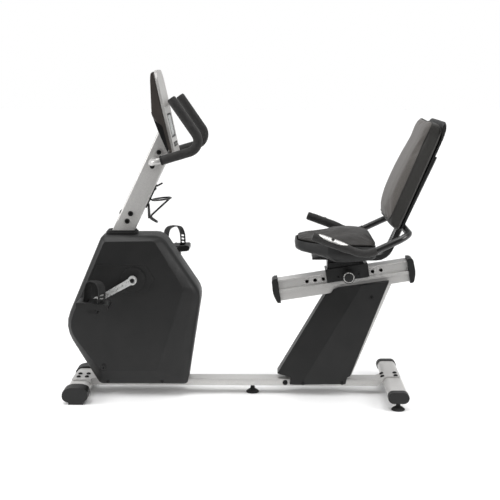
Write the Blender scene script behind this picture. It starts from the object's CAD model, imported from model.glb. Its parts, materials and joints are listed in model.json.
"""Looks of the recumbent exercise bike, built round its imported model. Lengths are in metres."""
import json
import math

import bmesh
import bpy
from mathutils import Matrix, Vector
from mathutils.bvhtree import BVHTree

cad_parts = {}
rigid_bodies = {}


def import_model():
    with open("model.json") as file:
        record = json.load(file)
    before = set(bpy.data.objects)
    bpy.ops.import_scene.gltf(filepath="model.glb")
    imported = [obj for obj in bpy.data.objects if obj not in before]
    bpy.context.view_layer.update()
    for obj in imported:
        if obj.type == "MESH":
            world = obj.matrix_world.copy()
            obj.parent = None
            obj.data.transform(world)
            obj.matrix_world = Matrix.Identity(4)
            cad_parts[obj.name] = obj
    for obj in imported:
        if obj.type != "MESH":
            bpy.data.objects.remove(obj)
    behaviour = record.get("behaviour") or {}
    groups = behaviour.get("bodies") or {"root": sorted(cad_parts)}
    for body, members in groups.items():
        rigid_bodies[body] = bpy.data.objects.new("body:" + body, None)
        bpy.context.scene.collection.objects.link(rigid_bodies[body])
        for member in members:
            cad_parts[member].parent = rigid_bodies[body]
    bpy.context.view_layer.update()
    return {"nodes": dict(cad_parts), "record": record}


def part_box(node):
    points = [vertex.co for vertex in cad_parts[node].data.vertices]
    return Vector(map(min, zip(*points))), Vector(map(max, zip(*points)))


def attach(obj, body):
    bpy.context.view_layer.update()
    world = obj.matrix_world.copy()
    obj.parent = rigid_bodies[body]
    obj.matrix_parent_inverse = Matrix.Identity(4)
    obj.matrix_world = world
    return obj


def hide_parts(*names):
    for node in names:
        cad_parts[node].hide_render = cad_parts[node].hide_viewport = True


for start_object in list(bpy.data.objects):
    bpy.data.objects.remove(start_object)

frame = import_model()
nodes = frame["nodes"]

# Places that the CAD model's parts are drawn about, in its frame.
PEDAL_TURN = {"left": 6.0, "right": -4.0}
PEDAL_AT = {"left": (-0.60875, 0.4096), "right": (-0.32125, 0.5716)}
PEDAL_MIDDLE = 0.193
MAST = {"x": -0.499, "z": 0.699, "lean": 25.7, "deep": 0.081}
CONSOLE = {"x": -0.325, "z": 1.142, "lean": -12.4}
RAIL = {"x": 0.376, "z": 0.4745, "lean": -9.06}
PIN_AT = {"x": 0.0183, "z": 0.019}
BAR_Y = 0.204
HANDLE_Y = 0.290
BACK = {"x": 0.591, "z": 0.717, "slope": 0.42}
SIDES = {"left": -1, "right": 1}
STUB_LOW = 0.67  # the mast's stub is silver above this height
STRAP_SKEW = 40.0


# ---------------------------------------------------------------- camera, light and floor
def add_camera():
    data = bpy.data.cameras.new("camera")
    data.sensor_width = 36
    data.lens = 78.73
    camera = bpy.data.objects.new("camera", data)
    bpy.context.scene.collection.objects.link(camera)
    camera.location = (0.076, -4.349, 1.3215)
    camera.rotation_euler = (math.radians(90 - 9.51), 0, math.radians(1.04))
    bpy.context.scene.camera = camera


def aim_light(name, data, place, aim):
    light = bpy.data.objects.new(name, data)
    bpy.context.scene.collection.objects.link(light)
    light.location = place
    light.rotation_euler = (Vector(aim) - Vector(place)).to_track_quat("-Z", "Y").to_euler()


def add_softbox(name, place, aim, size, power):
    data = bpy.data.lights.new(name, "AREA")
    data.shape = "SQUARE"
    data.size = size
    data.energy = power
    aim_light(name, data, place, aim)


def add_ceiling(strength):
    """A very broad light from straight above."""
    data = bpy.data.lights.new("ceiling", "SUN")
    data.energy = strength
    data.angle = math.radians(60)
    aim_light("ceiling", data, (0, -0.3, 3.6), (0, 0, 0))


def add_world(seen, near, far):
    """A surround that is white to the eye and lights the object from near strength at -Y to far at +Y."""
    world = bpy.data.worlds.new("studio")
    world.use_nodes = True
    tree = world.node_tree
    tree.nodes["Background"].inputs["Color"].default_value = (1, 1, 1, 1)
    path = tree.nodes.new("ShaderNodeLightPath")
    strength = tree.nodes.new("ShaderNodeMapRange")
    lighting = tree.nodes.new("ShaderNodeMapRange")
    lighting.inputs["From Min"].default_value = -1.0
    lighting.inputs["To Min"].default_value = near
    lighting.inputs["To Max"].default_value = far
    direction = tree.nodes.new("ShaderNodeSeparateXYZ")
    tree.links.new(tree.nodes.new("ShaderNodeTexCoord").outputs["Generated"], direction.inputs["Vector"])
    tree.links.new(direction.outputs["Y"], lighting.inputs["Value"])
    tree.links.new(lighting.outputs["Result"], strength.inputs["To Min"])
    strength.inputs["To Max"].default_value = seen
    tree.links.new(path.outputs["Is Camera Ray"], strength.inputs["Value"])
    tree.links.new(strength.outputs["Result"], tree.nodes["Background"].inputs["Strength"])
    bpy.context.scene.world = world


def add_stage():
    bpy.context.scene.view_settings.view_transform = "Standard"
    add_world(1.0, 0.10, 0.65)
    add_ceiling(2.7)
    add_softbox("front_softbox", (-2.8, -0.9, 1.6), (0, 0, 0.6), 1.2, 45)
    add_softbox("rear_softbox", (2.6, -1.6, 1.8), (-0.2, 0, 0.5), 1.2, 45)
    mesh = bpy.data.meshes.new("floor")
    wide, near = 30, -1.35
    mesh.from_pydata([(-wide, near, 0), (wide, near, 0), (wide, wide, 0), (-wide, wide, 0)], [], [(0, 1, 2, 3)])
    floor = bpy.data.objects.new("floor", mesh)
    bpy.context.scene.collection.objects.link(floor)
    floor.data.materials.append(finish("pale_floor", (0.93, 0.93, 0.93), 0.7, mottle=(0.6, 0.01)))


# ---------------------------------------------------------------- finishes
def finish(name, colour, roughness, metallic=0.0, mottle=(9.0, 0.08), gloss=(30.0, 0.05), relief=(), **sockets):
    """A principled material whose colour, roughness and relief vary in the object's own coordinates.

    mottle and gloss are (noise scale, amount). relief is a list of (kind, scale, height in metres)."""
    made = bpy.data.materials.new(name)
    made.use_nodes = True
    tree = made.node_tree
    shader = tree.nodes["Principled BSDF"]
    coords = tree.nodes.new("ShaderNodeTexCoord").outputs["Object"]

    def noise(scale, detail=4.0):
        node = tree.nodes.new("ShaderNodeTexNoise")
        node.inputs["Scale"].default_value = scale
        node.inputs["Detail"].default_value = detail
        tree.links.new(coords, node.inputs["Vector"])
        return node.outputs["Fac"]

    def spread(value, low, high):
        node = tree.nodes.new("ShaderNodeMapRange")
        node.inputs["From Min"].default_value = 0.3
        node.inputs["From Max"].default_value = 0.7
        node.inputs["To Min"].default_value = low
        node.inputs["To Max"].default_value = high
        tree.links.new(value, node.inputs["Value"])
        return node.outputs["Result"]

    blend = tree.nodes.new("ShaderNodeMix")
    blend.data_type = "RGBA"
    blend.inputs["A"].default_value = (*[c * (1 - mottle[1]) for c in colour], 1)
    blend.inputs["B"].default_value = (*[min(1, c * (1 + mottle[1])) for c in colour], 1)
    tree.links.new(spread(noise(mottle[0]), 0, 1), blend.inputs["Factor"])
    tree.links.new(blend.outputs["Result"], shader.inputs["Base Color"])
    rough = spread(noise(gloss[0]), roughness - gloss[1], min(1, roughness + gloss[1]))
    tree.links.new(rough, shader.inputs["Roughness"])
    shader.inputs["Metallic"].default_value = metallic

    normal = None
    for kind, scale, height in relief:
        bump = tree.nodes.new("ShaderNodeBump")
        bump.inputs["Distance"].default_value = height
        bump.inputs["Strength"].default_value = 1.0
        tree.links.new(RELIEFS[kind](tree, coords, scale, noise), bump.inputs["Height"])
        if normal:
            tree.links.new(normal, bump.inputs["Normal"])
        normal = bump.outputs["Normal"]
    if normal:
        tree.links.new(normal, shader.inputs["Normal"])
    for socket, value in sockets.items():
        shader.inputs[socket.replace("_", " ").title().replace("Ior", "IOR")].default_value = value
    return made


def cells(tree, coords, scale, noise):
    node = tree.nodes.new("ShaderNodeTexVoronoi")
    node.feature = "SMOOTH_F1"
    node.inputs["Scale"].default_value = scale
    tree.links.new(coords, node.inputs["Vector"])
    return node.outputs["Distance"]


def turned_coords(tree, coords, turn, stretch):
    node = tree.nodes.new("ShaderNodeMapping")
    node.inputs["Rotation"].default_value = [math.radians(a) for a in turn]
    node.inputs["Scale"].default_value = stretch
    tree.links.new(coords, node.inputs["Vector"])
    return node.outputs["Vector"]


def brushed(tree, coords, scale, noise):
    """Fine scratches that run along the piece's X."""
    node = tree.nodes.new("ShaderNodeTexNoise")
    node.inputs["Scale"].default_value = scale
    tree.links.new(turned_coords(tree, coords, (0, 0, 0), (0.03, 1, 1)), node.inputs["Vector"])
    return node.outputs["Fac"]


def mesh_weave(tree, coords, scale, noise):
    """Open diagonal mesh: two sets of ridges that cross."""
    ridges = []
    for turn in (45, -45):
        wave = tree.nodes.new("ShaderNodeTexWave")
        wave.inputs["Scale"].default_value = scale
        wave.inputs["Distortion"].default_value = 0.4
        wave.inputs["Detail Scale"].default_value = 40
        tree.links.new(turned_coords(tree, coords, (turn, 0, 0), (0, 1, 0)), wave.inputs["Vector"])
        ridges.append(wave.outputs["Fac"])
    top = tree.nodes.new("ShaderNodeMath")
    top.operation = "MAXIMUM"
    tree.links.new(ridges[0], top.inputs[0])
    tree.links.new(ridges[1], top.inputs[1])
    return top.outputs["Value"]


def plain_noise(tree, coords, scale, noise):
    return noise(scale, 6.0)


RELIEFS = {"cells": cells, "brushed": brushed, "weave": mesh_weave, "noise": plain_noise}

FINISHES = {
    "silver_paint": finish("silver_paint", (0.52, 0.512, 0.50), 0.36, 0.3, (420.0, 0.10), (60.0, 0.05),
                           [("noise", 500.0, 0.00012), ("noise", 25.0, 0.0004)], coat_weight=0.15),
    "grey_paint": finish("grey_paint", (0.52, 0.512, 0.50), 0.38, 0.3, (420.0, 0.10), (60.0, 0.05),
                         [("noise", 500.0, 0.00012), ("noise", 25.0, 0.0004)], coat_weight=0.15),
    "black_steel": finish("black_steel", (0.012, 0.012, 0.012), 0.33, 0.0, (15.0, 0.2), (40.0, 0.07),
                          [("noise", 420.0, 0.00006)], coat_weight=0.15, specular_ior_level=0.45),
    "black_plastic": finish("black_plastic", (0.0105, 0.0105, 0.0105), 0.47, 0.0, (12.0, 0.14), (22.0, 0.04),
                            [("cells", 900.0, 0.00012)], specular_ior_level=0.35),
    "rubber": finish("rubber", (0.011, 0.011, 0.011), 0.66, 0.0, (30.0, 0.2), (50.0, 0.08),
                     [("noise", 700.0, 0.0002)], specular_ior_level=0.3),
    "foam": finish("foam", (0.017, 0.016, 0.0155), 0.82, 0.0, (60.0, 0.2), (90.0, 0.08),
                   [("cells", 1300.0, 0.0003), ("noise", 90.0, 0.0005)], sheen_weight=0.1),
    "aluminium": finish("aluminium", (0.80, 0.80, 0.79), 0.3, 0.6, (40.0, 0.08), (70.0, 0.08),
                        [("brushed", 900.0, 0.00002), ("noise", 60.0, 0.0001)]),
    "steel": finish("steel", (0.5, 0.5, 0.5), 0.3, 1.0, (40.0, 0.1), (80.0, 0.08), [("brushed", 900.0, 0.0001)]),
    "cast_iron": finish("cast_iron", (0.08, 0.08, 0.08), 0.5, 0.9, (30.0, 0.2), (60.0, 0.1),
                        [("noise", 250.0, 0.0005)]),
    "console_shell": finish("console_shell", (0.045, 0.038, 0.034), 0.42, 0.0, (12.0, 0.1), (25.0, 0.05),
                            [("cells", 1000.0, 0.0001)]),
    "console_panel": finish("console_panel", (0.50, 0.49, 0.475), 0.36, 0.25, (300.0, 0.06), (30.0, 0.05),
                            [("noise", 700.0, 0.00006)]),
    "lens": finish("lens", (0.86, 0.90, 0.88), 0.06, 0.0, (10.0, 0.02), (30.0, 0.02),
                   transmission_weight=1.0, ior=1.46),
    "vinyl": finish("vinyl", (0.030, 0.0282, 0.0268), 0.44, 0.0, (14.0, 0.14), (30.0, 0.07),
                    [("cells", 520.0, 0.0005), ("noise", 40.0, 0.0006)], specular_ior_level=0.15),
    "mesh_cloth": finish("mesh_cloth", (0.086, 0.077, 0.070), 0.78, 0.0, (350.0, 0.3), (60.0, 0.06),
                         [("weave", 75.0, 0.0011), ("noise", 30.0, 0.0006)], sheen_weight=0.2),
}
BOXING = finish("boxing_cloth", (0.032, 0.031, 0.029), 0.7, 0.0, (500.0, 0.25), (60.0, 0.06),
                [("weave", 160.0, 0.0005), ("noise", 35.0, 0.0008)], sheen_weight=0.15, specular_ior_level=0.2)
PIPING = finish("piping", (0.055, 0.053, 0.05), 0.6, 0.0, (200.0, 0.2), (60.0, 0.06), [("noise", 500.0, 0.0003)])
BOLT_BLACK = finish("bolt_black", (0.005, 0.005, 0.005), 0.4, 0.0, (90.0, 0.2), (90.0, 0.08),
                    [("noise", 600.0, 0.0001)], specular_ior_level=0.25)
PRINT = finish("key_print", (0.62, 0.62, 0.60), 0.5, 0.0, (200.0, 0.05), (60.0, 0.04))
LCD = finish("lcd_back", (0.42, 0.47, 0.42), 0.5, 0.0, (200.0, 0.04), (60.0, 0.04), [("noise", 900.0, 0.00005)])
LCD_INK = finish("lcd_ink", (0.02, 0.025, 0.03), 0.5, 0.0, (200.0, 0.1), (60.0, 0.04))
SENSOR = finish("sensor_plate", (0.72, 0.71, 0.69), 0.28, 0.7, (60.0, 0.06), (60.0, 0.06),
                [("brushed", 700.0, 0.00005)])


# ---------------------------------------------------------------- CAD nodes as they are
def sharpen(mesh, crease):
    """Marks as sharp each edge whose faces meet at more than crease degrees.

    Doubled edges are matched by position."""
    spot = [tuple(round(c, 5) for c in v.co) for v in mesh.vertices]
    normals = {}
    for face in mesh.polygons:
        face.use_smooth = True
        for a, b in face.edge_keys:
            normals.setdefault(frozenset((spot[a], spot[b])), []).append(face.normal)
    limit = math.cos(math.radians(crease))
    for edge in mesh.edges:
        found = normals[frozenset(spot[v] for v in edge.vertices)]
        edge.use_edge_sharp = len(found) != 2 or found[0].dot(found[1]) < limit


def soften_edges(piece, width, crease):
    bevel = piece.modifiers.new("bevel", "BEVEL")
    bevel.limit_method = "ANGLE"
    bevel.angle_limit = math.radians(crease)
    bevel.width = width
    bevel.segments = 2
    bevel.harden_normals = True


def dress(name, slot, crease=38.0, bevel=0.0008):
    """Gives a CAD node its material, smooth shading between sharp edges, and small rounded edges."""
    piece = nodes[name]
    mesh = piece.data
    mesh.materials.clear()
    mesh.materials.append(FINISHES[slot])
    for layer in ("custom_normal", "sharp_face"):
        if layer in mesh.attributes:
            mesh.attributes.remove(mesh.attributes[layer])
    sharpen(mesh, crease)
    weld = piece.modifiers.new("weld", "WELD")
    weld.merge_threshold = 0.00001
    if bevel:
        soften_edges(piece, bevel, crease)


def dress_all():
    for part in frame["record"]["subparts"]:
        dress(part["node"], part["material_slot"], **DRESS.get(part["node"], {}))
    stub = nodes["frame_upright"].data
    stub.materials.append(FINISHES["silver_paint"])
    for face in stub.polygons:
        if max(stub.vertices[v].co.z for v in face.vertices) > STUB_LOW:
            face.material_index = 1


DRESS = {
    "shroud_left": {"crease": 30.0, "bevel": 0.0},
    "shroud_right": {"crease": 30.0, "bevel": 0.0},
    "post_cover_left": {"crease": 11.0, "bevel": 0.0},
    "post_cover_right": {"crease": 11.0, "bevel": 0.0},
    "seat_pan": {"crease": 55.0, "bevel": 0.0},
    "backrest_shell": {"crease": 55.0, "bevel": 0.0},
}


# ---------------------------------------------------------------- mesh makers
def new_piece(name, points, faces, material, body, smooth=True):
    mesh = bpy.data.meshes.new(name)
    mesh.from_pydata([tuple(p) for p in points], [], faces)
    mesh.validate()
    if smooth:
        mesh.shade_smooth()
    piece = bpy.data.objects.new(name, mesh)
    bpy.context.scene.collection.objects.link(piece)
    mesh.materials.append(material)
    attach(piece, body)
    return piece


def local_frame(x, z, lean, y=0.0):
    return Matrix.Translation((x, y, z)) @ Matrix.Rotation(math.radians(lean), 4, "Y")


def bent(corners, bends, steps=10):
    """The points of a path with its inner corners rounded to the bend radii."""
    corners = [Vector(c) for c in corners]
    path = [corners[0]]
    for before, corner, after, radius in zip(corners, corners[1:], corners[2:], bends):
        way_in = (corner - before).normalized()
        way_out = (after - corner).normalized()
        turn = way_in.angle(way_out)
        axis = way_in.cross(way_out)
        start = corner - way_in * radius * math.tan(turn / 2)
        middle = corner + (way_out - way_in).normalized() * radius / math.cos(turn / 2)
        for k in range(steps + 1):
            path.append(middle + Matrix.Rotation(turn * k / steps, 3, axis) @ (start - middle))
    return path + [corners[-1]]


def spaced(path, gap):
    """The same path with extra points, so that no step is longer than gap."""
    out = [path[0]]
    for a, b in zip(path, path[1:]):
        count = max(1, math.ceil((b - a).length / gap))
        out += [a.lerp(b, (k + 1) / count) for k in range(count)]
    return out


def tube_mesh(path, radii, sides=24, closed=False):
    """Vertices and faces of a round tube along path; radii holds one radius for each point."""
    count = len(path)
    points, faces = [], []
    across = None
    for i, point in enumerate(path):
        ahead = path[(i + 1) % count] if closed or i + 1 < count else point
        behind = path[i - 1] if closed or i else point
        way = (ahead - behind).normalized()
        if across is None:
            across = way.orthogonal().normalized()
        across = (across - way * across.dot(way)).normalized()
        other = way.cross(across)
        for k in range(sides):
            angle = 2 * math.pi * k / sides
            points.append(point + (across * math.cos(angle) + other * math.sin(angle)) * radii[i])
    for i in range(count if closed else count - 1):
        j = (i + 1) % count
        for k in range(sides):
            m = (k + 1) % sides
            faces.append((i * sides + k, i * sides + m, j * sides + m, j * sides + k))
    if not closed:
        faces.append(tuple(reversed(range(sides))))
        faces.append(tuple(range((count - 1) * sides, count * sides)))
    return points, faces


def rounded_ends(path, radius, soft=0.002):
    """The path and radii of a rod whose end edges are rounded by soft."""
    first = (path[1] - path[0]).normalized()
    last = (path[-1] - path[-2]).normalized()
    turns = [(0.0, soft), (0.3 * soft, 0.4 * soft), (soft, 0.0)]
    starts = [(path[0] + first * along, radius - back) for along, back in turns]
    ends = [(path[-1] - last * along, radius - back) for along, back in reversed(turns)]
    middle = [(p, radius) for p in path[1:-1]]
    stations = starts + middle + ends
    return [p for p, _ in stations], [r for _, r in stations]


def rod(name, path, radius, material, body, sides=24, soft=0.002):
    points, radii = rounded_ends(path, radius, soft)
    piece = new_piece(name, *tube_mesh(points, radii, sides), material, body)
    crisp_caps(piece)
    return piece


def crisp_caps(piece):
    for face in piece.data.polygons:
        if len(face.vertices) > 4:
            face.use_smooth = False


def joined_tubes(name, paths, radius, material, body, sides=12):
    points, faces = [], []
    for path, closed in paths:
        if closed:
            more, more_faces = tube_mesh(path, [radius] * len(path), sides, True)
        else:
            stations, radii = rounded_ends(path, radius, radius * 0.5)
            more, more_faces = tube_mesh(stations, radii, sides)
        faces += [tuple(len(points) + v for v in face) for face in more_faces]
        points += more
    return new_piece(name, points, faces, material, body)


def prism(name, outline, low, high, place, material, body, bevel=0.0006):
    """An outline in the place's own XY plane, given thickness along its Z."""
    count = len(outline)
    points = [place @ Vector((x, y, z)) for z in (low, high) for x, y in outline]
    faces = [tuple(reversed(range(count))), tuple(range(count, 2 * count))]
    faces += [(k, (k + 1) % count, count + (k + 1) % count, count + k) for k in range(count)]
    piece = new_piece(name, points, faces, material, body)
    sharpen(piece.data, 38)
    if bevel:
        soften_edges(piece, bevel, 38)
    return piece


def rounded_outline(corners, steps=6):
    """A closed outline of (x, y, radius) corners, anticlockwise."""
    out = []
    for i, (x, y, radius) in enumerate(corners):
        here = Vector((x, y))
        before = Vector(corners[i - 1][:2])
        after = Vector(corners[(i + 1) % len(corners)][:2])
        if not radius:
            out.append((x, y))
            continue
        way_in, way_out = (here - before).normalized(), (after - here).normalized()
        turn = way_in.angle(way_out)
        start = here - way_in * radius * math.tan(turn / 2)
        end = here + way_out * radius * math.tan(turn / 2)
        for k in range(steps + 1):
            t = k / steps
            point = start.lerp(here, t).lerp(here.lerp(end, t), t)
            out.append((point.x, point.y))
    return out


def slot_outline(length, width, steps=12):
    straight, r = (length - width) / 2, width / 2
    right = [(straight + r * math.cos(a), r * math.sin(a)) for a in
             [math.pi * (k / steps - 0.5) for k in range(steps + 1)]]
    return right + [(-x, -y) for x, y in right]


def facing(point, direction):
    """A frame at point whose Z runs along direction."""
    return Matrix.Translation(point) @ Vector(direction).to_track_quat("Z", "Y").to_matrix().to_4x4()


def lathe(name, profile, place, material, body, sides=40, ridge=None):
    """A turned piece about the place's Z.

    profile is a list of (radius, z); ridge varies the radius round the rim."""
    points, faces = [], []
    for radius, z in profile:
        for k in range(sides):
            angle = 2 * math.pi * k / sides
            wide = radius * (ridge(k, radius) if ridge else 1)
            points.append(place @ Vector((wide * math.cos(angle), wide * math.sin(angle), z)))
    for i in range(len(profile) - 1):
        for k in range(sides):
            m = (k + 1) % sides
            faces.append((i * sides + k, i * sides + m, (i + 1) * sides + m, (i + 1) * sides + k))
    faces.append(tuple(reversed(range(sides))))
    faces.append(tuple(range((len(profile) - 1) * sides, len(profile) * sides)))
    piece = new_piece(name, points, faces, material, body)
    crisp_caps(piece)
    return piece


trees = {}


def surface_point(node, origin, direction):
    """Where a ray from origin first meets a CAD node."""
    if node not in trees:
        mesh = nodes[node].data
        trees[node] = BVHTree.FromPolygons([v.co for v in mesh.vertices], [f.vertices for f in mesh.polygons])
    hit, normal, _, _ = trees[node].ray_cast(Vector(origin), Vector(direction))
    return hit, normal


def bolt(name, node, origin, direction, radius, body, height=0.005, material=None):
    """A button head with a hexagon socket, seated where the ray from origin meets the node."""
    hit, normal = surface_point(node, origin, direction)
    if hit is None:
        return
    if normal.dot(Vector(direction)) > 0:
        normal = -normal
    place = facing(hit, normal)
    key = radius * 0.48
    sides = 36
    rings = [(radius, -0.0005), (radius, height * 0.3), (radius * 0.93, height * 0.6), (radius * 0.75, height * 0.88),
             (key * 1.18, height)]
    points, faces = [], []
    for wide, z in rings:
        for k in range(sides):
            angle = 2 * math.pi * k / sides
            points.append(place @ Vector((wide * math.cos(angle), wide * math.sin(angle), z)))
    for z in (height, height * 0.25):
        for k in range(sides):
            angle = 2 * math.pi * k / sides
            flat = key * math.cos(math.pi / 6) / math.cos((angle % (math.pi / 3)) - math.pi / 6)
            points.append(place @ Vector((flat * math.cos(angle), flat * math.sin(angle), z)))
    for i in range(len(rings) + 1):
        for k in range(sides):
            m = (k + 1) % sides
            faces.append((i * sides + k, i * sides + m, (i + 1) * sides + m, (i + 1) * sides + k))
    faces.append(tuple(reversed(range(sides))))
    last = (len(rings) + 1) * sides
    faces.append(tuple(range(last, last + sides)))
    piece = new_piece(name, points, faces, material or BOLT_BLACK, body)
    sharpen(piece.data, 42)


# ---------------------------------------------------------------- cushions
def voxelled(name, node, shrink, voxel):
    """A smooth, even copy of a CAD pad, drawn in about its middle by shrink along X, Y and Z."""
    low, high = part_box(node)
    middle = (low + high) / 2
    mesh = nodes[node].data.copy()
    for layer in ("custom_normal", "sharp_face", "sharp_edge"):
        if layer in mesh.attributes:
            mesh.attributes.remove(mesh.attributes[layer])
    mesh.transform(Matrix.Translation(middle) @ Matrix.Diagonal((*shrink, 1)) @ Matrix.Translation(-middle))
    piece = bpy.data.objects.new(name, mesh)
    bpy.context.scene.collection.objects.link(piece)
    weld = piece.modifiers.new("weld", "WELD")
    weld.merge_threshold = 0.00001
    remesh = piece.modifiers.new("remesh", "REMESH")
    remesh.mode = "VOXEL"
    remesh.voxel_size = voxel
    smooth = piece.modifiers.new("smooth", "SMOOTH")
    smooth.factor = 0.5
    smooth.iterations = 12
    settle(piece)
    return piece


def settle(piece):
    """Applies a piece's modifiers to its mesh."""
    bpy.context.view_layer.update()
    shown = piece.evaluated_get(bpy.context.evaluated_depsgraph_get())
    mesh = bpy.data.meshes.new_from_object(shown)
    piece.modifiers.clear()
    piece.data = mesh


def inflate(piece, held, reach, pressure=4.0):
    """Lets cloth swell under pressure. Points where held(point) is true rest on a hard part and stay."""
    mesh = piece.data
    start = [v.co.copy() for v in mesh.vertices]
    pins = piece.vertex_groups.new(name="pins")
    pins.add([v.index for v in mesh.vertices if held(v.co)], 1.0, "REPLACE")
    cloth = piece.modifiers.new("cloth", "CLOTH")
    cloth.settings.quality = 4
    cloth.settings.use_pressure = True
    cloth.settings.uniform_pressure_force = pressure
    cloth.settings.effector_weights.gravity = 0
    cloth.settings.vertex_group_mass = "pins"
    cloth.point_cache.frame_start = 1
    cloth.point_cache.frame_end = 20
    scene = bpy.context.scene
    for number in range(1, 21):
        scene.frame_set(number)
    settle(piece)
    scene.frame_set(1)
    for vertex, origin in zip(piece.data.vertices, start):
        move = vertex.co - origin
        if move.length > reach:
            vertex.co = origin + move.normalized() * reach
    piece.vertex_groups.clear()


def refined(piece, smoothing):
    smooth = piece.modifiers.new("smooth", "SMOOTH")
    smooth.factor = 0.5
    smooth.iterations = smoothing
    finer = piece.modifiers.new("finer", "SUBSURF")
    finer.levels = 1
    finer.render_levels = 1
    settle(piece)
    piece.data.shade_smooth()


def plane_loop(piece, middle, u, w, count=180):
    """The loop where a plane through middle, spanned by u and w, cuts a pad's outside."""
    mesh = piece.data
    tree = BVHTree.FromPolygons([v.co for v in mesh.vertices], [f.vertices for f in mesh.polygons])
    loop = []
    for k in range(count):
        angle = 2 * math.pi * k / count
        way = (u * math.cos(angle) + w * math.sin(angle)).normalized()
        hit, _, _, _ = tree.ray_cast(middle + way * 0.6, -way)
        if hit is not None:
            loop.append(hit)
    return loop


def welt(name, loop, radius, material, body):
    piece = new_piece(name, *tube_mesh(loop, [radius] * len(loop), 10, True), material, body)
    return piece


def stitches(name, loop, lift, material, body, pitch=0.0075, length=0.0045, radius=0.0006):
    """A row of separate short threads just beside a seam."""
    path = spaced([p + lift for p in loop] + [loop[0] + lift], 0.0015)
    reach = [0.0]
    for a, b in zip(path, path[1:]):
        reach.append(reach[-1] + (b - a).length)
    paths, mark = [], 0.0
    while mark + length < reach[-1]:
        inside = [p for p, r in zip(path, reach) if mark <= r <= mark + length]
        if len(inside) > 2:
            paths.append((inside, False))
        mark += pitch
    piece = joined_tubes(name, paths, radius, material, body, 6)


def seat_cushion():
    low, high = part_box("seat_cushion")
    piece = voxelled("seat_cushion_pad", "seat_cushion", (1.006, 1.006, 0.985), 0.005)
    inflate(piece, lambda p: p.z < low.z + 0.006, 0.005)
    for vertex in piece.data.vertices:
        vertex.co.z = max(vertex.co.z, low.z + 0.0002)
    dish(piece, low.z, high.z)
    refined(piece, 10)
    piece.data.materials.clear()
    piece.data.materials.append(FINISHES["vinyl"])
    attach(piece, "seat")
    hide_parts("seat_cushion")
    middle = Vector((0.36, 0, low.z + 0.006))
    lengthways = Vector((1, 0, -0.015)).normalized()
    loop = plane_loop(piece, middle, lengthways, Vector((0, 1, 0)))
    welt("seat_cushion_welt", loop, 0.0042, FINISHES["vinyl"], "seat")


def dish(piece, base, top):
    """Presses two broad, shallow hollows for the thighs into the cushion's top and lowers it towards its sides."""
    for vertex in piece.data.vertices:
        for side in (-1, 1):
            away = Vector(((vertex.co.x - 0.36) / 0.11, (vertex.co.y - side * 0.095) / 0.085))
            share = max(0.0, 1 - away.length_squared)
            if vertex.co.z > top - 0.03:
                vertex.co.z -= 0.004 * share * share
        sideways = vertex.co.y / 0.2
        vertex.co.z = base + (vertex.co.z - base) * (0.92 - 0.38 * sideways * sideways)


def back_cushion():
    forward = Vector((-1, 0, BACK["slope"])).normalized()
    rear = Vector((BACK["x"], 0, BACK["z"]))

    def depth(point):
        return (BACK["x"] + (point.z - BACK["z"]) * BACK["slope"]) - point.x

    piece = voxelled("backrest_pad", "backrest_cushion", (1.0, 0.99, 1.0), 0.006)
    inflate(piece, lambda p: depth(p) < 0.017, 0.009)
    for vertex in piece.data.vertices:
        short = 0.0095 - depth(vertex.co)
        if short > 0:
            vertex.co.x -= short
        top = min(1.0, max(0.0, (vertex.co.z - 1.045) / 0.05))
        front = min(1.0, max(0.0, (depth(vertex.co) - 0.02) / 0.045))
        vertex.co.z += top * (0.014 * front - 0.004 * (1 - front))
    refined(piece, 8)
    piece.data.materials.clear()
    piece.data.materials.append(FINISHES["mesh_cloth"])
    piece.data.materials.append(BOXING)
    for face in piece.data.polygons:
        face.material_index = 0 if depth(face.center) > 0.063 else 1
    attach(piece, "seat")
    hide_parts("backrest_cushion")
    up = Vector((BACK["slope"], 0, 1)).normalized()
    for name, deep, radius, material in (("backrest_front_welt", 0.063, 0.0030, BOXING),
                                         ("backrest_rear_piping", 0.017, 0.0032, PIPING)):
        middle = rear + up * 0.2 + Vector((-deep, 0, 0))
        loop = plane_loop(piece, middle, Vector((0, 1, 0)), up, 240)
        welt(name, loop, radius, material, "seat")
        if deep > 0.05:
            stitches("backrest_stitches", [p + (p - middle).normalized() * 0.0002 for p in loop], forward * 0.005,
                     PIPING, "seat")


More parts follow.
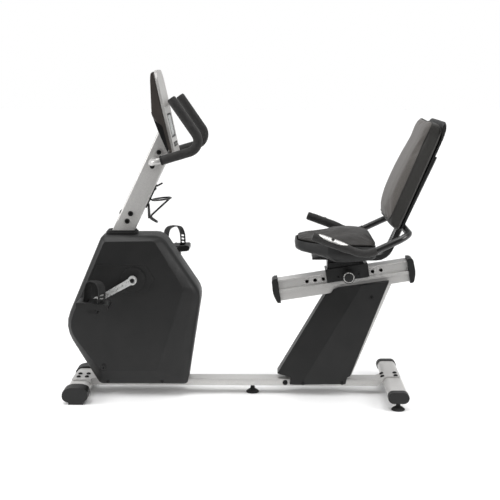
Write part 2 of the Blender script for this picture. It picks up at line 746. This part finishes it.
# ---------------------------------------------------------------- bars and grips
def handlebars():
    for side, sign in SIDES.items():
        y = sign * BAR_Y
        corners = [(-0.376, sign * 0.028, 0.960), (-0.376, y, 0.960), (-0.341, y, 0.9695), (-0.1695, y, 1.020),
                   (-0.296, y, 1.203)]
        whole = bent(corners, (0.028, 0.01, 0.045), 12)
        bar = rod(f"bar_{side}", spaced([p for p in whole if p.z < 1.19], 0.03), 0.0125,
                  FINISHES["silver_paint"], "frame")
        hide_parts(f"handlebar_{side}")
        grip_path = bent([(-0.336, y, 0.9705), *corners[3:]], (0.045,), 14)
        grip = rod(f"bar_grip_{side}", spaced(grip_path, 0.02), 0.018, FINISHES["foam"], "frame", 32, 0.003)
        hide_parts(f"handlebar_grip_{side}")
        tip, way = grip_path[-1], (grip_path[-1] - grip_path[-2]).normalized()
        plug = lathe(f"bar_plug_{side}", [(0.0145, -0.002), (0.0165, 0.0002), (0.0158, 0.0016), (0.013, 0.0026),
                                          (0.006, 0.0030)],
                     facing(tip, way), FINISHES["rubber"], "frame")
        collar_way = Vector((0.1715, 0, 0.0505)).normalized()
        collar_at = Vector((-0.336, y, 0.9705))
        collar = lathe(f"bar_collar_{side}", [(0.0128, -0.004), (0.0178, -0.004), (0.0188, -0.002), (0.0188, 0.003),
                                              (0.0180, 0.005)], facing(collar_at, collar_way), FINISHES["rubber"],
                       "frame")
        outward = Vector((0, sign, 0))
        tilt = Matrix.Rotation(math.radians(MAST["lean"] - 90), 4, "Y")
        face = Matrix.Translation((-0.3765, 0, 0.9605)) @ tilt @ Matrix.Rotation(math.radians(90), 4, "X")
        span = (-0.030, -0.0253) if sign > 0 else (0.0253, 0.030)
        flange = prism(f"bar_flange_{side}", slot_outline(0.086, 0.034), *span, face, FINISHES["silver_paint"],
                       "frame", 0.001)
        for number, (x, z) in enumerate([(-0.3630, 0.9885), (-0.3900, 0.9325)]):
            bolt_at(f"bar_bolt_{side}_{number}", (x, sign * 0.030, z), outward, 0.0095, "frame")


def bolt_at(name, point, direction, radius, body, height=0.005):
    """A button head at a known point on a piece made here."""
    trees["_here"] = BVHTree.FromPolygons(plate_points(point, direction), [(0, 1, 2, 3)])
    bolt(name, "_here", Vector(point) + Vector(direction) * 0.05, -Vector(direction), radius, body, height)


def plate_points(point, direction):
    place = facing(Vector(point), direction)
    return [place @ Vector(corner) for corner in ((-1, -1, 0), (1, -1, 0), (1, 1, 0), (-1, 1, 0))]


def seat_handles():
    corners = [(0.237, HANDLE_Y, 0.695), (0.438, HANDLE_Y, 0.621), (0.603, HANDLE_Y, 0.699),
               (0.603, -HANDLE_Y, 0.699), (0.438, -HANDLE_Y, 0.621), (0.237, -HANDLE_Y, 0.695)]
    path = bent(corners, (0.09, 0.055, 0.055, 0.09), 14)
    handle = rod("seat_handle_tube", spaced(path, 0.04), 0.0130, FINISHES["black_steel"], "seat", 28)
    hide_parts("seat_handle")
    for side, sign in SIDES.items():
        half = [Vector((p.x, sign * abs(p.y), p.z)) for p in spaced(path[:len(path) // 2], 0.008)]
        sleeve = [p for p in half if p.x < 0.482 and abs(abs(p.y) - HANDLE_Y) < 0.001]
        reach = [(p - sleeve[0]).length for p in sleeve]
        radii = [sleeve_radius(r) for r in reach]
        stations, ends = rounded_ends(sleeve, 0.0165, 0.003)
        radii = ends[:3] + radii[1:-1] + [r - 0.0015 for r in ends[-3:]]
        grip = new_piece(f"handle_grip_{side}", *tube_mesh(stations, radii, 28), FINISHES["foam"], "seat")
        crisp_caps(grip)
        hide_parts(f"seat_grip_{side}")
        sensor(side, sign, sleeve[0], Vector(corners[1]) - Vector(corners[0]))


def sleeve_radius(reach):
    """The hand grip is thicker than the sleeve that runs on round the bend."""
    share = min(1.0, max(0.0, (reach - 0.135) / 0.02))
    return 0.0172 - 0.0022 * share * share * (3 - 2 * share)


def sensor(side, sign, tip, slope):
    """A pulse sensor: a pointed metal plate on the grip's upper outside, with a dark round window."""
    way = Vector((slope.x, 0, slope.z)).normalized()
    up = Vector((-way.z, 0, way.x))
    if up.z < 0:
        up = -up
    out = Vector((0, sign, 0))
    stations = [(0.020, 0.10), (0.040, 0.62), (0.055, 0.74), (0.095, 0.74), (0.112, 0.60), (0.136, 0.08)]
    points, faces = [], []
    columns = 8
    for lift in (0.0166, 0.0184):
        for along, wide in spread_stations(stations, 5):
            for k in range(columns + 1):
                angle = 0.55 + wide * (2 * k / columns - 1)
                around = up * math.cos(angle) + out * math.sin(angle)
                points.append(tip + way * along + around * lift)
    rows = len(points) // (2 * (columns + 1))
    layer = rows * (columns + 1)
    for i in range(rows - 1):
        for k in range(columns):
            a = i * (columns + 1) + k
            quad = (a, a + 1, a + columns + 2, a + columns + 1)
            faces.append(tuple(layer + v for v in quad))
            faces.append(tuple(reversed(quad)))
    rim = ([k for k in range(columns)] + [i * (columns + 1) + columns for i in range(rows - 1)]
           + [(rows - 1) * (columns + 1) + k for k in range(columns, 0, -1)]
           + [i * (columns + 1) for i in range(rows - 1, 0, -1)])
    for a, b in zip(rim, rim[1:] + rim[:1]):
        faces.append((a, b, layer + b, layer + a))
    plate = new_piece(f"pulse_plate_{side}", points, faces, SENSOR, "seat")
    recalculate(plate)
    sharpen(plate.data, 40)
    around = (up * math.cos(0.55) + out * math.sin(0.55)).normalized()
    place = facing(tip + way * 0.076 + around * 0.0178, around)
    window = lathe(f"pulse_window_{side}", [(0.0065, 0.0), (0.0065, 0.0014), (0.0058, 0.0019), (0.0030, 0.0020)],
                   place, FINISHES["rubber"], "seat", 28)


def spread_stations(stations, steps):
    out = [stations[0]]
    for (a, u), (b, v) in zip(stations, stations[1:]):
        out += [(a + (b - a) * k / steps, u + (v - u) * k / steps) for k in range(1, steps + 1)]
    return out


def recalculate(piece):
    """Turns a closed mesh's faces to point outwards."""
    work = bmesh.new()
    work.from_mesh(piece.data)
    bmesh.ops.recalc_face_normals(work, faces=work.faces)
    work.to_mesh(piece.data)
    work.free()


# ---------------------------------------------------------------- pedals
def straps():
    for side, sign in SIDES.items():
        x, z = PEDAL_AT[side]
        skew = Matrix.Rotation(math.radians(sign * STRAP_SKEW), 4, "Z")
        place = local_frame(x, z, PEDAL_TURN[side], sign * PEDAL_MIDDLE) @ skew
        arch = rounded_outline([(-0.0405, -0.008, 0), (0.0405, -0.008, 0), (0.0425, 0.050, 0.014),
                                (0.0325, 0.0905, 0.034), (-0.0325, 0.0905, 0.034), (-0.0425, 0.050, 0.014)], 8)
        path = spaced([Vector((u, 0, w)) for u, w in arch[1:] + arch[:1]], 0.0075)
        strap_band(f"strap_{side}", path, place, f"{side}_pedal", f"pedal_strap_{side}")
        strap_buckle(f"buckle_{side}", place, f"{side}_pedal")


def strap_band(name, path, place, body, node):
    """A rubber band with raised borders and, up its front, a ladder of slots."""
    columns = [-0.018, -0.0155, -0.0105, 0.0105, 0.0155, 0.018]
    points = [place @ (p + Vector((0, y, 0))) for p in path for y in columns]
    faces = []
    wide = len(columns)
    for i in range(len(path) - 1):
        for k in range(wide - 1):
            slotted = k == 2 and 3 <= i <= 11 and i % 2 == 1
            if not slotted:
                a = i * wide + k
                faces.append((a, a + 1, a + wide + 1, a + wide))
    piece = new_piece(name, points, faces, FINISHES["rubber"], body)
    thick = piece.modifiers.new("thick", "SOLIDIFY")
    thick.thickness = 0.003
    thick.offset = 0
    soften_edges(piece, 0.0007, 38)
    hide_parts(node)


def strap_buckle(name, place, body):
    outline = rounded_outline([(-0.014, -0.006, 0.003), (0.014, -0.006, 0.003), (0.014, 0.010, 0.004),
                               (-0.014, 0.010, 0.004)], 4)
    side_on = place @ facing(Vector((-0.0435, 0, 0.030)), (-1, 0, 0.05))
    piece = prism(name, outline, 0.0, 0.005, side_on, FINISHES["black_plastic"], body, 0.001)


# ---------------------------------------------------------------- bottle cage
def bottle_cage():
    place = local_frame(MAST["x"], MAST["z"], MAST["lean"])
    face = MAST["deep"] / 2 + 0.0003

    def wire(*corners, bends=()):
        return [place @ p for p in bent(corners, bends, 6)] if bends else [place @ Vector(c) for c in corners]

    tilt = Matrix.Rotation(math.radians(-32), 4, "Y")
    centre = Vector((face + 0.043, 0, 0.152))
    ring = [place @ (centre + tilt @ Vector((0.038 * math.cos(a), 0.038 * math.sin(a), 0)))
            for a in [2 * math.pi * k / 56 for k in range(56)]]
    paths = [(ring, True)]
    for side in (-1, 1):
        paths.append((wire((face + 0.073, side * 0.012, 0.171), (face + 0.030, side * 0.020, 0.064),
                           (face + 0.066, side * 0.008, 0.060), bends=(0.010,)), False))
        paths.append((wire((face + 0.004, side * 0.008, 0.112), (face + 0.030, side * 0.020, 0.064)), False))
    paths.append((wire((face + 0.030, -0.020, 0.064), (face + 0.030, 0.020, 0.064)), False))
    paths.append((wire((face + 0.066, -0.008, 0.060), (face + 0.066, 0.008, 0.060)), False))
    paths.append((wire((face + 0.004, 0, 0.131), (face + 0.012, 0, 0.132)), False))
    paths.append((wire((face + 0.004, 0, 0.190), (face + 0.020, 0, 0.212)), False))
    cage = joined_tubes("cage_wires", paths, 0.0036, FINISHES["black_steel"], "frame", 14)
    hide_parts("bottle_cage")
    flat = place @ facing(Vector((face, 0, 0.144)), (1, 0, 0))
    plate = prism("cage_plate", slot_outline(0.104, 0.022), 0.0, 0.005, flat @ Matrix.Rotation(math.radians(90), 4, "Z"),
                  FINISHES["black_steel"], "frame", 0.001)
    for number, z in enumerate((0.108, 0.178)):
        point = place @ Vector((face + 0.005, 0, z))
        bolt_at(f"cage_bolt_{number}", point, place.to_3x3() @ Vector((1, 0, 0)), 0.006, "frame", 0.003)


# ---------------------------------------------------------------- console
SEGMENTS = {"0": "abcdef", "1": "bc", "2": "abged", "3": "abgcd", "4": "fgbc", "5": "afgcd", "6": "afgedc",
            "7": "abc", "8": "abcdefg", "9": "abcfgd"}


def console():
    place = local_frame(CONSOLE["x"], CONSOLE["z"], CONSOLE["lean"])
    flat = place @ Matrix(((0, 0, 1, 0), (1, 0, 0, 0), (0, 1, 0, 0), (0, 0, 0, 1)))
    screen = rounded_outline([(-0.0655, -0.0875, 0.002), (0.0655, -0.0875, 0.002), (0.0655, -0.0085, 0.002),
                              (-0.0655, -0.0085, 0.002)], 3)
    back = prism("lcd_panel", screen, -0.00395, -0.00382, flat, LCD, "frame", 0)
    bars = []
    for text, left, low, tall in (("12", -0.055, -0.078, 0.026), ("36", 0.010, -0.078, 0.026),
                                  ("20", -0.055, -0.040, 0.022), ("08", 0.010, -0.040, 0.022)):
        for place_number, digit in enumerate(text):
            bars += digit_bars(digit, left + place_number * tall * 0.75, low, tall)
    for step in range(5):
        left = -0.058 + 0.0058 * step
        bars.append((left, -0.0465, left + 0.0035, -0.0455 + 0.0010 * step))
    points, faces = [], []
    for x0, y0, x1, y1 in bars:
        start = len(points)
        points += [flat @ Vector((x, y, z)) for z in (-0.00382, -0.00376)
                   for x, y in ((x0, y0), (x1, y0), (x1, y1), (x0, y1))]
        faces += [tuple(start + v for v in face) for face in
                  ((3, 2, 1, 0), (4, 5, 6, 7), (0, 1, 5, 4), (1, 2, 6, 5), (2, 3, 7, 6), (3, 0, 4, 7))]
    ink = new_piece("lcd_segments", points, faces, LCD_INK, "frame", False)
    border = frame_outline(flat)
    marks(flat)


def digit_bars(digit, left, low, tall):
    wide, t = tall * 0.52, tall * 0.1
    half = tall / 2
    spots = {"a": (0, tall - t, wide, tall), "g": (0, half - t / 2, wide, half + t / 2), "d": (0, 0, wide, t),
             "f": (0, half, t, tall), "e": (0, 0, t, half), "b": (wide - t, half, wide, tall),
             "c": (wide - t, 0, wide, half)}
    gap = t * 0.15
    return [(left + x0 + gap, low + y0 + gap, left + x1 - gap, low + y1 - gap)
            for x0, y0, x1, y1 in (spots[s] for s in SEGMENTS[digit])]


def frame_outline(flat):
    """A dark border round the display, 0.6 mm proud of the panel."""
    outer = rounded_outline([(-0.074, -0.096, 0.006), (0.074, -0.096, 0.006), (0.074, -0.001, 0.006),
                             (-0.074, -0.001, 0.006)], 4)
    inner = rounded_outline([(-0.0663, -0.0883, 0.002), (0.0663, -0.0883, 0.002), (0.0663, -0.0077, 0.002),
                             (-0.0663, -0.0077, 0.002)], 4)
    count = len(outer)
    points = [flat @ Vector((x, y, z)) for z in (0.0, 0.0006) for loop in (outer, inner) for x, y in loop]
    faces = []
    for k in range(count):
        m = (k + 1) % count
        o, i, top = 0, count, 2 * count
        faces += [(top + o + k, top + o + m, top + i + m, top + i + k), (o + k, o + m, top + o + m, top + o + k),
                  (i + m, i + k, top + i + k, top + i + m), (o + m, o + k, i + k, i + m)]
    piece = new_piece("display_border", points, faces, FINISHES["black_plastic"], "frame")
    sharpen(piece.data, 38)
    return piece


def marks(flat):
    """Raised plain signs on the keys: down, a ring, and up."""
    down = [(-0.0555, -0.1215), (-0.048, -0.1275), (-0.0405, -0.1215)]
    up = [(x * -1, -0.248 - y) for x, y in down]
    ring = [(0.0052 * math.cos(a), -0.124 + 0.0052 * math.sin(a)) for a in
            [2 * math.pi * k / 24 for k in range(24)]]
    for name, outline, body in (("mark_down", down, "key_down"), ("mark_up", up, "key_up"),
                                ("mark_start", ring, "key_start")):
        if signed_area(outline) < 0:
            outline = outline[::-1]
        piece = prism(name, outline, 0.0014, 0.0018, flat, PRINT, body, 0)


def signed_area(outline):
    return sum(x * outline[(i + 1) % len(outline)][1] - outline[(i + 1) % len(outline)][0] * y
               for i, (x, y) in enumerate(outline))


# ---------------------------------------------------------------- knob, bolts and small trim
def knob():
    """The seat's pull knob, with a knurled rim and a plain raised cap."""
    rail = local_frame(RAIL["x"], RAIL["z"], RAIL["lean"])
    centre = rail @ Vector((PIN_AT["x"], 0, PIN_AT["z"]))
    place = facing(Vector((centre.x, -0.0620, centre.z)), (0, -1, 0))
    rim = lathe("knob_rim", [(0.0160, 0.0), (0.0246, 0.0), (0.0252, 0.002), (0.0252, 0.017), (0.0244, 0.0205),
                             (0.0225, 0.0218), (0.0205, 0.0218), (0.0195, 0.0206), (0.0190, 0.0202)],
                place, FINISHES["rubber"], "pin", 96,
                lambda k, r: 1 - 0.035 * (k % 4 == 0) * (r > 0.024))
    cap = lathe("knob_cap", [(0.0196, 0.0198), (0.0196, 0.0212), (0.0180, 0.0222), (0.010, 0.0227), (0.004, 0.0228)],
                place, FINISHES["black_plastic"], "pin", 48)
    band = lathe("knob_band", [(0.0202, 0.0208), (0.0213, 0.0208), (0.0213, 0.0222), (0.0208, 0.0223),
                               (0.0202, 0.0222)], place, SENSOR, "pin", 64)
    neck = lathe("knob_shank", [(0.0055, 0.0), (0.0055, 0.026), (0.0160, 0.0265), (0.0160, 0.0330)],
                 facing(Vector((centre.x, -0.0296, centre.z)), (0, -1, 0)), FINISHES["steel"], "pin", 32)
    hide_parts("pin_knob")


def bolts():
    for sign, side in ((-1, "left"), (1, "right")):
        outside = (0, -sign, 0)
        for number, (x, z) in enumerate([(-0.480, 0.743), (-0.494, 0.713)]):
            bolt(f"mast_bolt_{side}_{number}", "mast", (x, sign * 0.3, z), outside, 0.0105, "frame")
        for number, x in enumerate((0.074, 0.141)):
            bolt(f"joint_bolt_{side}_{number}", "main_base_tube" if number == 0 else "rear_base_tube",
                 (x, sign * 0.3, 0.051), outside, 0.0105, "frame")
        for number, (x, z) in enumerate([(0.485, 0.412), (0.213, 0.055), (0.372, 0.057)]):
            bolt(f"post_screw_{side}_{number}", f"post_cover_{side}", (x, sign * 0.3, z), outside, 0.0075, "frame",
                 0.0035)
        for number, (x, z) in enumerate([(-0.578, 0.062), (-0.358, 0.063)]):
            bolt(f"shroud_screw_{side}_{number}", f"shroud_{side}", (x, sign * 0.3, z), outside, 0.008, "frame",
                 0.0035)
        for number, x in enumerate((-0.022, 0.062)):
            rail = local_frame(RAIL["x"], RAIL["z"], RAIL["lean"])
            spot = rail @ Vector((x, 0, 0.020))
            bolt(f"carriage_screw_{side}_{number}", "seat_carriage", (spot.x, sign * 0.3, spot.z), outside, 0.0045,
                 "seat", 0.002)
        for number, x in enumerate((-0.706, -0.672)):
            bolt(f"front_bolt_{side}_{number}", "main_base_tube", (x, sign * 0.022, 0.4), (0, 0, -1), 0.009, "frame")
        for number, x in enumerate((0.538, 0.592)):
            bolt(f"rear_bolt_{side}_{number}", "rear_base_tube", (x, sign * 0.021, 0.4), (0, 0, -1), 0.009, "frame")
        for number, x in enumerate((0.066, 0.090)):
            bolt(f"sleeve_bolt_{side}_{number}", "main_base_tube", (x, sign * 0.018, 0.3), (0, 0, -1), 0.009,
                 "frame", 0.004)
    mast = local_frame(MAST["x"], MAST["z"], MAST["lean"])
    start, way = mast @ Vector((-0.3, 0, 0.033)), mast.to_3x3() @ Vector((1, 0, 0))
    bolt("mast_bolt_front", "mast", start, way, 0.0105, "frame")
    for side, sign in SIDES.items():
        bolt(f"crank_bolt_{side}", f"crank_arm_{side}", (-0.465, sign * 0.4, 0.4906), (0, -sign, 0), 0.009, "crank",
             0.003)


def shroud_marks():
    """The raised arrow-ended field round each crank, and the round plug low at the front."""
    field = rounded_outline([(-0.656, 0.4335, 0.004), (-0.4125, 0.4335, 0.008), (-0.3800, 0.4900, 0.006),
                             (-0.4140, 0.5450, 0.008), (-0.608, 0.5450, 0.004)], 4)
    for side, sign in SIDES.items():
        hit, _ = surface_point(f"shroud_{side}", (-0.52, sign * 0.4, 0.53), (0, -sign, 0))
        wall = abs(hit.y)
        place = Matrix(((1, 0, 0, 0), (0, 0, sign, 0), (0, 1, 0, 0), (0, 0, 0, 1)))
        piece = prism(f"crank_field_{side}", field, wall - 0.0005, wall + 0.0020, place, FINISHES["black_plastic"],
                      "frame", 0.0008)
        recalculate(piece)
        spot, _ = surface_point(f"shroud_{side}", (-0.590, sign * 0.4, 0.135), (0, -sign, 0))
        plug = lathe(f"shroud_plug_{side}", [(0.0095, -0.001), (0.0095, 0.0008), (0.0088, 0.0014), (0.0078, 0.0014),
                                             (0.0074, 0.0006), (0.0040, 0.0006)], facing(spot, (0, sign, 0)),
                     FINISHES["rubber"], "frame", 36)


add_camera()
add_stage()
dress_all()
seat_cushion()
back_cushion()
handlebars()
seat_handles()
straps()
bottle_cage()
console()
knob()
bolts()
shroud_marks()
